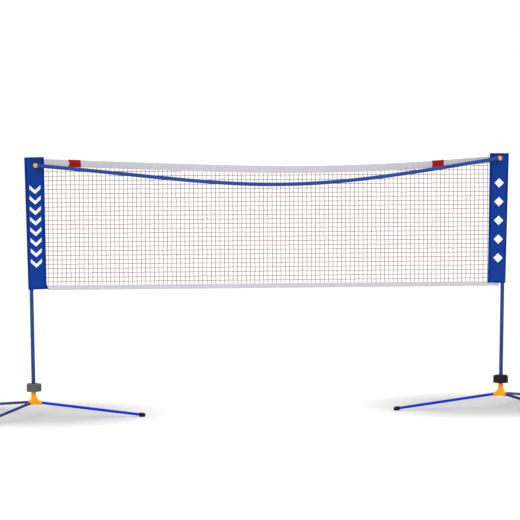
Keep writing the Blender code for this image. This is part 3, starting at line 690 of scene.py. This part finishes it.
# ---- bowed bar
def add_bar():
    """Four curved tubes, each with a lip rolled in at its ends."""
    span = (ball_centre("right") - ball_centre("left")).length
    ends, seam = BAR_START / span, 0.00025 / span
    lip = 0.0012 / span
    for k in range(BAR_SECTIONS):
        first = ends if k == 0 else k / BAR_SECTIONS + seam
        last = 1 - ends if k == BAR_SECTIONS - 1 else (k + 1) / BAR_SECTIONS - seam
        shares = [first, first + 0.4 * lip, first + lip]
        shares += [first + lip + (last - first - 2 * lip) * i / 47 for i in range(1, 47)]
        shares += [last - lip, last - 0.4 * lip, last]
        rings = []
        for i, share in enumerate(shares):
            inset = {0: 0.0007, 1: 0.0002}.get(min(i, len(shares) - 1 - i), 0.0)
            here = bar_axes(share)
            rings.append([here @ p for p in circle(BAR_RADIUS - inset, 0, 32)])
        inner = []
        for share in shares[::6] + [last]:
            here = bar_axes(share)
            inner.append([here @ p for p in circle(BAR_BORE, 0, 32)])
        bm = skin(rings + inner[::-1], closed=True)
        node = f"bar_section_{k + 1}"
        piece(f"bar_tube_{k + 1}", bm, "crossbar", PAINTS["bar"], [node])


def add_knuckle(side):
    """The D-shaped end of the bar, with a rounded rim, a sunk face and a round hole to the ball."""
    place = bar_axes(0, 1) if side == "left" else bar_axes(1, -1)
    opening, rim = acos(SOCKET_FLAT / SOCKET_RADIUS), 0.0022
    arc = []
    for i in range(41):
        angle = opening + (2 * pi - 2 * opening) * i / 40
        arc.append((sin(angle), cos(angle)))
    outline = rounded([(SOCKET_RADIUS * x, SOCKET_RADIUS * z) for x, z in arc], rim, closed=True)

    def level(y, shrink):
        ring = []
        for x, z in outline:
            away = Vector((x, 0, z))
            ring.append(away * (1 - shrink / away.length) + Vector((0, y, 0)))
        return ring

    rings = [level(SOCKET_HALF, 0.0055)]
    quarter = sweep(0, pi / 2, 5)
    rings += [level(SOCKET_HALF - rim * (1 - cos(a)), rim * (1 - sin(a))) for a in quarter]
    rings += [level(-SOCKET_HALF + rim * (1 - sin(a)), rim * (1 - cos(a))) for a in quarter]
    rings += [level(-SOCKET_HALF, 0.0031), level(-SOCKET_HALF + 0.0009, 0.0036)]
    rings.append(level(-SOCKET_HALF + 0.0009, 0.0055))
    bm = skin(rings)
    tang = turned([(0, 0.006), (BAR_CORE, 0.006), (BAR_CORE, 0.043), (0.0055, 0.046), (0, 0.046)], 32)
    hollow = BALL_RADIUS + GAP
    belt = [(hollow * sin(a), -hollow * cos(a)) for a in sweep(0, pi, 16)[1:-1]]
    cavity = turned([(0, -hollow), *belt, (0, hollow)], 40)
    facing_back = Matrix.Rotation(-pi / 2, 4, "X")
    mouth = turned([(0, 0.0030), (0.0056, 0.0030), (0.0110, 0.0115), (0, 0.0115)], 40)
    mouth.transform(facing_back)
    peephole = drill(0.0026, -0.012, -0.003, 32)
    peephole.transform(facing_back)
    body = bmesh.new()
    for part in (bm, tang):
        body.from_mesh(mesh_of("part", part))
    made = shaped(body, KNUCKLE_VOXEL, 2, [cavity, mouth, peephole])
    node = f"{side}_bar_end_socket"
    piece(f"{side}_bar_knuckle", made, "crossbar", ORANGE, [node], place, 40)


def add_stud(side):
    """The ball on its shank."""
    outline = [(0.0, -0.0018), (STUD_RADIUS, -0.0018), (STUD_RADIUS, BALL_FORWARD - 0.0062)]
    for angle in sweep(0, pi, 16)[3:]:
        outline.append((BALL_RADIUS * sin(angle), BALL_FORWARD - BALL_RADIUS * cos(angle)))
    outline[-1] = (0.0, BALL_FORWARD + BALL_RADIUS)
    turn = Matrix.Rotation(pi / 2, 4, "X")
    place = pole_frame(side) @ Matrix.Translation((BALL_INWARD, 0, BALL_Z[side] - PIVOT_Z)) @ turn
    bm = turned(outline, 40)
    piece(f"{side}_stud_turning", bm, "net_frame", STEEL, [f"{side}_ball_stud"], place)


def add_eyelet(side):
    """A rolled metal ring, pressed on the slanting front of the sleeve."""
    slant = asin((TUNNEL_RADIUS + CLOTH - HEM_HALF) / SLEEVE_INWARD)
    surface = (TUNNEL_RADIUS + CLOTH - sin(slant) * BALL_INWARD) / cos(slant)
    outline = [(0.0056, -0.0025), (0.0066, -0.0025), (0.0068, 0.0004), (0.0103, 0.0003)]
    for angle in sweep(0, pi, 6):
        outline.append((0.0083 + 0.0021 * cos(angle), 0.0006 + 0.0013 * sin(angle)))
    outline.append((0.0056, 0.0009))
    place = pole_frame(side) @ Matrix.Translation((BALL_INWARD, -surface, BALL_Z[side] - PIVOT_Z))
    turn = Matrix.Rotation(slant, 4, "Z") @ Matrix.Rotation(pi / 2, 4, "X")
    bm = turned(outline, 48, closed=True)
    node = f"{side}_sleeve_eyelet"
    piece(f"{side}_eyelet_ring", bm, "net_frame", STEEL, [node], place @ turn)


# ---- sleeves
def pocket_half(wrap, outward, inward, edge_half, outer_half):
    """(x, half thickness) points across a pocket, evenly spaced from its outer edge to its net-side edge."""
    tangent = asin((wrap - edge_half) / inward)
    start, end = pi - asin(outer_half / wrap), pi / 2 - tangent
    line = [Vector((-outward, outer_half))]
    line += [Vector((wrap * cos(a), wrap * sin(a))) for a in sweep(start, end, 24)]
    line.append(Vector((inward, edge_half)))
    steps = [(b - a).length for a, b in zip(line, line[1:])]
    total, made, leg, done = sum(steps), [], 0, 0.0
    for i in range(SLEEVE_COLUMNS + 1):
        want = total * i / SLEEVE_COLUMNS
        while leg < len(steps) - 1 and done + steps[leg] < want:
            done += steps[leg]
            leg += 1
        made.append(line[leg].lerp(line[leg + 1], min(1.0, (want - done) / steps[leg])))
    for _ in range(2):
        inner = [(a + 2 * b + c) / 4 for a, b, c in zip(made, made[1:], made[2:])]
        made = [made[0], *inner, made[-1]]
    return made


def sleeve_limits(side, z):
    """How far the sleeve reaches outwards and towards the net from the pole's axis at height z."""
    share = (z - SLEEVE_BOTTOM_Z) / (HEIGHT - SLEEVE_BOTTOM_Z)
    outward = SLEEVE_OUTWARD_BOTTOM + share * (SLEEVE_OUTWARD_TOP - SLEEVE_OUTWARD_BOTTOM)
    return outward, SLEEVE_INWARD + sleeve_flare(side, z)


def closing(z):
    """The pocket is drawn together where it is sewn shut above the pole."""
    t = clamped((z - (HEIGHT - CLOSING)) / CLOSING)
    return max(0.14, sqrt(1 - t * t))


def drape(side, x, z, face):
    """How far the cloth stands off its plain shape: soft folds, pull lines at the stud and puckered hems."""
    seed = 3.1 * SIDES[side] + 7.7 * face
    outward, inward = sleeve_limits(side, z)
    broad = noise.noise(Vector((x * 14, z * 5, seed)))
    lines = noise.noise(Vector((x * 30 + z * 9, z * 16, seed + 20)))
    flat = clamped((x + outward) / 0.020) * clamped((inward - x) / 0.022)
    away = hypot(x - BALL_INWARD, z - BALL_Z[side])
    spokes = cos(9 * atan2(z - BALL_Z[side], x - BALL_INWARD))
    pull = PULLS * spokes * exp(-((away - 0.045) / 0.03) ** 2)
    calm = clamped((away - 0.014) / 0.02) if face < 0 else 1.0
    pucker = PUCKERS * sin(z * 520 + 5 * noise.noise(Vector((z * 30, seed, 0)))) * (1 - flat)
    loose = FOLDS * broad + CREASES * lines + (pull if face < 0 else 0.0)
    return calm * (flat * (loose + 0.0009) + pucker)


def in_end_hem(z):
    return z < SLEEVE_BOTTOM_Z + HEM_BOTTOM or z > HEIGHT - HEM_TOP


def in_hem(side, x, z):
    outward, inward = sleeve_limits(side, z)
    return x < HEM - outward or x > inward - HEM or in_end_hem(z)


def sleeve_point(side, x, half, z, face, lift=0.0, hemmed=None):
    """A point on the cloth, in the pole's frame."""
    if hemmed is None:
        hemmed = in_hem(side, x, z)
    fold = HEM_FOLD if hemmed else 0.0
    y = face * (half * closing(z) + drape(side, x, z, face) * closing(z) + fold + lift)
    return Vector((x, y, z - PIVOT_Z))


def outer_line(side, z):
    """Points across the pocket's outside at height z."""
    outward, inward = sleeve_limits(side, z)
    return pocket_half(TUNNEL_RADIUS + CLOTH, outward, inward, HEM_HALF - HEM_FOLD, OUTER_EDGE_HALF)


def half_at(side, z, x):
    """Half the pocket's outside thickness at x."""
    line = outer_line(side, z)
    for a, b in zip(line, line[1:]):
        if a.x <= x <= b.x and b.x > a.x:
            return a.y + (b.y - a.y) * (x - a.x) / (b.x - a.x)
    return line[-1].y if x > 0 else line[0].y


def on_sleeve(side, x, z, face, lift=0.0):
    return sleeve_point(side, x, half_at(side, z, x), z, face, lift)


def sleeve_ring(side, line, z, hems, lift=0.0):
    """Points round the pocket at height z: the front from its outer edge, then the back from the net side."""
    front = [sleeve_point(side, p.x, p.y, z, -1, lift, hem) for p, hem in zip(line, hems)]
    back = [sleeve_point(side, p.x, p.y, z, 1, lift, hem) for p, hem in zip(line, hems)]
    return front + back[::-1]


def add_sleeve(side):
    """A pocket of two layers sewn together along its edges and over the top, open at the bottom."""
    last_plain = SLEEVE_COLUMNS - HEM_COLUMNS[1]
    outside, inside = [], []
    for k in range(SLEEVE_LEVELS + 1):
        z = SLEEVE_BOTTOM_Z + (HEIGHT - SLEEVE_BOTTOM_Z) * (1 - (1 - k / SLEEVE_LEVELS) ** 1.25)
        inward = sleeve_limits(side, z)[1]
        outer = outer_line(side, z)
        hems = [n < HEM_COLUMNS[0] or n > last_plain or in_end_hem(z) for n in range(len(outer))]
        outside.append(sleeve_ring(side, outer, z, hems))
        cavity = pocket_half(TUNNEL_RADIUS, TUNNEL_RADIUS + 0.0005, inward - 0.010, 0.0012, 0.0004)
        shrink = Vector((0, 0, -CLOTH * k / SLEEVE_LEVELS))
        inside.append([point + shrink for point in sleeve_ring(side, cavity, z, hems, -HEM_FOLD)])
    bm = folded(inside[::-1] + outside)
    around_ring = len(outside[0])
    for n, one in enumerate(bm.faces):
        k = n % around_ring
        column = min(k, around_ring - 2 - k)  # the back's columns run the other way
        hem = column < HEM_COLUMNS[0] or column >= last_plain
        one.material_index = int(hem or in_end_hem(one.calc_center_median().z + PIVOT_Z))
    name = f"{side}_sleeve_cloth"
    place = pole_frame(side)
    cloth = piece(name, bm, "net_frame", [SLEEVE, HEM_CLOTH], [f"{side}_sleeve"], place, 60)
    around = sum((b - a).length for a, b in zip(outer, outer[1:]))
    extras = [add_sleeve_stitching(side), add_motif(side)]


def add_sleeve_stitching(side):
    """Two upright rows and two level rows of thread on each face."""
    bm = bmesh.new()
    low, high = SLEEVE_BOTTOM_Z + 0.004, HEIGHT - 0.006
    for face in (-1, 1):
        out = Vector((0, face, 0))

        def upright(t, outer):
            z = low + (high - low) * t
            outward, inward = sleeve_limits(side, z)
            x = SEAM_INSET - outward if outer else inward - SEAM_INSET
            return on_sleeve(side, x, z, face)

        def level(t, z):
            outward, inward = sleeve_limits(side, z)
            x = -outward + 0.003 + (outward + inward - 0.006) * t
            return on_sleeve(side, x, z, face)

        for outer in (True, False):
            stitches(bm, lambda t: upright(t, outer), out)
        for z in (SLEEVE_BOTTOM_Z + 0.0095, HEIGHT - 0.0085):
            stitches(bm, lambda t: level(t, z), out)
    place = pole_frame(side)
    return piece(f"{side}_sleeve_stitching", bm, "net_frame", BLUE_THREAD, (), place)


def printed(bm, side, corners, columns, rows):
    """Adds a printed four-cornered shape, laid on the front of the sleeve, to bm."""
    a, b, c, d = (Vector(corner) for corner in corners)
    layers = []
    for lift in PRINT_LIFTS:
        grid = []
        for r in range(rows + 1):
            low, high = a.lerp(d, r / rows), b.lerp(c, r / rows)
            spots = [low.lerp(high, k / columns) for k in range(columns + 1)]
            grid.append([on_sleeve(side, spot.x, spot.y, -1, lift) for spot in spots])
        layers.append(grid)
    two_layered(*layers, bm)


def add_motif(side):
    """A plain printed pattern: a column of chevrons on the left sleeve and of diamonds on the right."""
    bm = bmesh.new()
    if side == "left":
        for k in range(CHEVRONS):
            top = CHEVRON_TOP - CHEVRON_PITCH * k
            for tip in (-1, 1):
                outer = MOTIF_X + tip * CHEVRON_REACH
                corners = [(MOTIF_X, top - 0.052), (outer, top - 0.022), (outer, top), (MOTIF_X, top - 0.030)]
                printed(bm, side, corners, 10, 6)
    else:
        for k in range(DIAMONDS):
            z = DIAMOND_TOP - DIAMOND_PITCH * k
            low, high = (MOTIF_X, z - DIAMOND_TALL), (MOTIF_X, z + DIAMOND_TALL)
            printed(bm, side, [low, (MOTIF_X + DIAMOND_WIDE, z), high, (MOTIF_X - DIAMOND_WIDE, z)], 14, 12)
    return piece(f"{side}_sleeve_motif", bm, "net_frame", PRINT, (), pole_frame(side), 60)


# ---- tapes and markers
def edge_to_edge(t, z):
    """x at height z, from inside one sleeve's edge to inside the other's."""
    left = sleeve_edge_x("left", z) - TUCK
    right = sleeve_edge_x("right", z) + TUCK
    return left + (right - left) * t


def flutter(x, depth, seed):
    """Sideways waviness of a hanging tape; depth runs from 0 at its taut edge to 1 at its free edge."""
    slow, quick = noise.noise(Vector((x * 2.2, seed, 0))), noise.noise(Vector((x * 9, seed, 4)))
    return 0.0011 * slow + 0.0009 * depth * quick


def tape_section(width, bead, turned_up):
    """(y, distance down from the top) round the two layers of a tape folded over a cord's bead."""
    def layer(half_here, bead_here):
        fold = [(-bead_here * cos(a), bead - bead_here * sin(a)) for a in sweep(0, pi, 8)]
        sides = [0.14, 0.3, 0.5, 0.7, 0.85, 1.0]
        front = [(-half_here, width * share) for share in reversed(sides)]
        back = [(half_here, width * share) for share in sides]
        return front + fold + back

    section = layer(TAPE_HALF, bead) + layer(TAPE_HALF - TAPE_LAYER, bead - TAPE_LAYER)[::-1]
    return [(y, width - down) for y, down in section] if turned_up else section


def add_tape(node, top_at, width, section, stations, seed, lines, tail=()):
    """A woven tape through stations (t along the net), with rows of stitches at the given depths."""
    def place_at(t, y, down):
        z = top_at(edge_to_edge(t, HEIGHT)) - down
        x = edge_to_edge(t, z)
        z = top_at(x) - down
        return Vector((x, y + flutter(x, down / width, seed), z))

    rings = [[place_at(i / stations, y, down) for y, down in section] for i in range(stations + 1)]
    rings += tail
    tape = piece(f"{node}_band", folded(rings), "net_frame", TAPE, [node], NET, 60)
    thread = bmesh.new()
    for down in lines:
        for face in (-1, 1):
            def line(t):
                shown = 0.003 + 0.994 * t
                return place_at(shown, face * TAPE_HALF, down)
            stitches(thread, line, Vector((0, face, 0)), TAPE_STITCH_PITCH)
    sewn = piece(f"{node}_band_stitching", thread, "net_frame", WHITE_THREAD, (), NET)
    return tape, sewn


def add_tapes(netting):
    """Both tapes with what is sewn to them. The netting argument is not used."""
    section = tape_section(TAPE_WIDTH, TAPE_BEAD, False)
    looks = (section, TAPE_STATIONS, TAPE_SEED, TAPE_SEAMS)
    tape, sewn = add_tape("top_tape", tape_top_z, TAPE_WIDTH, *looks)
    flat = (2 * TAPE_WIDTH, edge_to_edge(1, HEIGHT) - edge_to_edge(0, HEIGHT))
    for side in SIDES:
        marker = add_marker(side)
        thread = add_marker_stitching(side)
        first, last = MARKERS[side]
        flat = (last - first, 2 * (TAPE_WIDTH + MARKER_DROP) + pi * MARKER_BEAD)

    width = FOOT_TAPE_WIDTH
    section = tape_section(width, FOOT_TAPE_BEAD, True)
    start = sleeve_edge_x("right", SLEEVE_BOTTOM_Z)
    low = foot_tape_z(start) - width / 2
    height = FOOT_TAPE_TAIL_TOP - low
    tail = []
    for k in range(1, 9):
        x = start + TUCK + (FOOT_TAPE_TAIL_X - start - TUCK) * k / 8
        tail.append([Vector((x, y, low + height * (1 - down / width))) for y, down in section])
    looks = (section, FOOT_TAPE_STATIONS, FOOT_TAPE_SEED, FOOT_TAPE_SEAMS, tail)
    tape, sewn = add_tape("bottom_tape", foot_tape_top_z, width, *looks)
    flat = (2 * width, FOOT_TAPE_TAIL_X - sleeve_edge_x("left", SLEEVE_BOTTOM_Z) + TUCK)


def marker_edges(side, share):
    """The marker's two side edges at a share of its height, with a notch where its end is cut."""
    first, last = MARKERS[side]
    peak = 1 - abs(2 * share - 1)
    if side == "left":
        return first + 0.010 * peak, last + 0.001 - 0.003 * share
    return first + 0.003 * peak, last - 0.003 * peak


def marker_loop():
    """(y, z below the tape's top, share of height) from the front's low edge over the fold to the back's."""
    height = TAPE_WIDTH + MARKER_DROP
    half, bead = TAPE_HALF + 0.0007, MARKER_BEAD
    made = [(-half, height * (1 - k / 9)) for k in range(9)]
    made += [(-bead * cos(a), 0.0016 - bead * sin(a) * 0.9) for a in sweep(0, pi, 4)]
    made += [(half, height * (k + 1) / 9) for k in range(9)]
    return [(y, down, 1 - clamped(down / height)) for y, down in made]


def add_marker(side):
    """A red band folded over the top tape, one layer thick."""
    columns = 20
    layers = []
    for lift in (0.0, MARKER_CLOTH):
        grid = []
        for y, down, share in marker_loop():
            left, right = marker_edges(side, share)
            out = copysign(lift, y) if abs(y) > 0.001 else 0.0
            rise = lift if down < 0.001 else 0.0
            line = []
            for k in range(columns + 1):
                x = left + (right - left) * k / columns
                here = y + out + flutter(x, down / TAPE_WIDTH, TAPE_SEED)
                line.append((x, here, tape_top_z(x) - down + rise))
            grid.append(line)
        layers.append(grid)
    bm = bmesh.new()
    two_layered(*layers, bm)
    return piece(f"{side}_marker_band", bm, "net_frame", BAND, [f"{side}_marker"], NET, 60)


def add_marker_stitching(side):
    thread = bmesh.new()
    first, last = MARKERS[side]
    for face in (-1, 1):
        for x in (first + 0.014, last - 0.006):
            def line(t):
                down = 0.004 + (TAPE_WIDTH - 0.008) * t
                y = face * (TAPE_HALF + 0.0015) + flutter(x, down / TAPE_WIDTH, TAPE_SEED)
                return Vector((x, y, tape_top_z(x) - down))
            stitches(thread, line, Vector((0, face, 0)))
    return piece(f"{side}_marker_stitching", thread, "net_frame", RED_THREAD, (), NET)


# ---- netting
def add_netting():
    """Square mesh of cord: level and upright cords that meet in knots, slightly uneven as a hung net is."""
    draw = random.Random(11)
    across = Vector((0, 1, 0))
    pitch_x = (MESH_X[1] - MESH_X[0]) / (MESH_COLUMNS - 1)
    columns = [MESH_X[0] + pitch_x * j for j in range(MESH_COLUMNS)]

    def row_z(i, x):
        return foot_tape_top_z(x) + MESH_FIRST + MESH_PITCH * i

    def ceiling(x):
        return tape_top_z(x) - TAPE_WIDTH - MESH_MARGIN

    def jitter(sizes):
        return Vector([draw.gauss(0, size) for size in sizes])

    knots = {}
    rows = 0
    while row_z(rows, MESH_X[0]) < ceiling(MESH_X[0]) or row_z(rows, MESH_X[1]) < ceiling(MESH_X[1]):
        for j, x in enumerate(columns):
            spot = Vector((x, 0, row_z(rows, x))) + jitter(KNOT_STRAY)
            inside = sleeve_edge_x("left", spot.z) < spot.x < sleeve_edge_x("right", spot.z)
            if spot.z < ceiling(x) and inside:
                knots[rows, j] = spot
        rows += 1

    cords = bmesh.new()

    def run(points, held=0):
        """One cord. Its first and last held points lie pressed flat between the two layers of a tape."""
        count = len(points)
        path = [points[0]]
        for k, (a, b) in enumerate(zip(points, points[1:])):
            slack = jitter(CORD_STRAY)
            loose = held - 1 <= k <= count - 1 - held
            path += [(a + b) / 2 + slack * loose, b]
        rings = []
        for k, spot in enumerate(path):
            pressed = k <= 2 * held - 2 or k >= 2 * (count - held)
            depth = CORD_PRESSED if pressed else CORD_RADIUS
            along = (path[min(k + 1, len(path) - 1)] - path[max(k - 1, 0)]).normalized()
            side_way = across.cross(along).normalized()
            up = along.cross(side_way)
            turn = sweep(0, pi * 2, 6)[:-1]
            ring = [spot + side_way * cos(a) * CORD_RADIUS + up * sin(a) * depth for a in turn]
            rings.append(ring)
        skin(rings, bm=cords)

    for i in range(rows):
        groups, last = [], None
        for j in range(MESH_COLUMNS):
            if (i, j) in knots:
                if last != j - 1:
                    groups.append([])
                groups[-1].append(knots[i, j])
                last = j
        for group in groups:
            start, end = group[0].copy(), group[-1].copy()
            if group is groups[0]:
                start.x = sleeve_edge_x("left", start.z) - TUCK
            else:
                start += Vector((-pitch_x * 0.8, 0, 0))
            if group is groups[-1]:
                end.x = sleeve_edge_x("right", end.z) + TUCK
            else:
                end += Vector((pitch_x * 0.8, 0, 0))
            run([start, *group, end])
    for j, x in enumerate(columns):
        line = [knots[i, j] for i in range(rows) if (i, j) in knots]
        low, high = foot_tape_top_z(x), tape_top_z(x) - TAPE_WIDTH
        ends = [
            Vector((line[0].x, flutter(x, 0.2, FOOT_TAPE_SEED), low - CORD_TUCKS[0])),
            Vector((line[0].x, flutter(x, 0, FOOT_TAPE_SEED), low)),
            Vector((line[-1].x, flutter(x, 1, TAPE_SEED), high)),
            Vector((line[-1].x, flutter(x, 0.8, TAPE_SEED), high + CORD_TUCKS[1])),
        ]
        run([*ends[:2], *line, *ends[2:]], held=2)

    lumps = bmesh.new()
    for spot in knots.values():
        size = draw.uniform(0.92, 1.1)
        turn = Matrix.Rotation(draw.uniform(0, pi), 4, "Y")
        shape = Matrix.Diagonal([part * size for part in KNOT_SIZE] + [1])
        place = Matrix.Translation(spot) @ turn @ shape
        bmesh.ops.create_icosphere(lumps, subdivisions=1, radius=1.0, matrix=place)
    return [
        piece("netting_cords", cords, "net_frame", CORD, ["net_panel"], NET, 60),
        piece("netting_knots", lumps, "net_frame", CORD, (), NET, 80),
    ]


# ---- hidden CAD pieces
def dress_cad_nodes():
    """CAD pieces whose shape is right keep it, and get a finished material."""
    finishes = {"bar_spigot": STEEL, "pole_spigot": STEEL, "thrust_washer": STEEL}
    finishes |= {"clamp_collet": BLACK, "pole_top_cap": BLACK, "bar_bracket": BLACK}
    for name, obj in frame["nodes"].items():
        for part, finish in finishes.items():
            if part in name:
                obj.data.materials.clear()
                obj.data.materials.append(finish)


# ---- studio
def floor_material():
    paint = Paint("studio_floor", Roughness=0.9, Specular_IOR_Level=0.1)
    clouds = paint.ramp(paint.speckle(0.4, 3.0), 0.3, 0.7)
    tone = paint.blend(clouds, (0.93, 0.93, 0.93, 1), (0.95, 0.95, 0.95, 1))
    scale = [1 / reach for reach in FLOOR_SHADE]
    # painted shadow: a soft grey pool round each stand, mixed into the floor's colour towards
    # FLOOR_SHADE_TONE
    for side in SIDES:
        centre = PIVOT[side] + Vector((-FLOOR_SHADE_INWARD * SIDES[side], FLOOR_SHADE_BACK, -PIVOT_Z))
        away = paint.add("VectorMath", {0: paint.place, 1: centre}, operation="SUBTRACT")["Vector"]
        spot = {"Vector": paint.stretched(away, scale)}
        painted_shade_pool = paint.add("TexGradient", spot, gradient_type="SPHERICAL")["Fac"]
        share = paint.ramp(painted_shade_pool, 0.0, 1 - FLOOR_SHADE_CORE, 0.0, FLOOR_SHADE_DEPTH)
        tone = paint.blend(share, tone, FLOOR_SHADE_TONE)
    return paint.shade(Base_Color=tone)


def add_studio():
    """A wide pale floor with painted shade under each stand, under an even white sky, with one broad light
    from the front left.
    """
    bm = bmesh.new()
    bmesh.ops.create_circle(bm, cap_ends=True, radius=FLOOR_RADIUS, segments=96)
    mesh = bpy.data.meshes.new("floor")
    bm.to_mesh(mesh)
    bm.free()
    mesh.materials.append(floor_material())
    added("floor", mesh)
    world = bpy.data.worlds.new("studio")
    world.use_nodes = True
    inputs = {"Color": (1, 1, 1, 1), "Strength": 1.0}
    link_all(world.node_tree, world.node_tree.nodes["Background"], inputs)
    bpy.context.scene.world = world
    sun = bpy.data.lights.new("key", "SUN")
    sun.energy = SUN_ENERGY
    sun.angle = SUN_SIZE
    added("key", sun).rotation_euler = SUN_TURN
    bpy.context.scene.view_settings.view_transform = "Standard"


def add_camera():
    camera = added("camera", bpy.data.cameras.new("camera"))
    camera.data.lens = CAMERA_LENS
    camera.data.sensor_width = CAMERA_SENSOR
    camera.data.clip_end = 400
    yaw = Matrix.Rotation(-CAMERA_YAW, 4, "Z")
    pitch = Matrix.Rotation(pi / 2 - CAMERA_PITCH, 4, "X")
    roll = Matrix.Rotation(CAMERA_ROLL, 4, "Z")
    camera.matrix_world = Matrix.Translation(CAMERA_PLACE) @ yaw @ pitch @ roll
    bpy.context.scene.camera = camera


# ---- assembly
def main():
    add_camera()
    add_studio()
    for side in SIDES:
        add_hub(side)
        add_nut(side)
        for leg in LEGS:
            add_leg(side, leg)
            add_foot(side, leg)
        add_poles(side)
        add_stud(side)
        add_eyelet(side)
        add_knuckle(side)
        add_sleeve(side)
    add_bar()
    add_tapes(add_netting())
    dress_cad_nodes()


main()
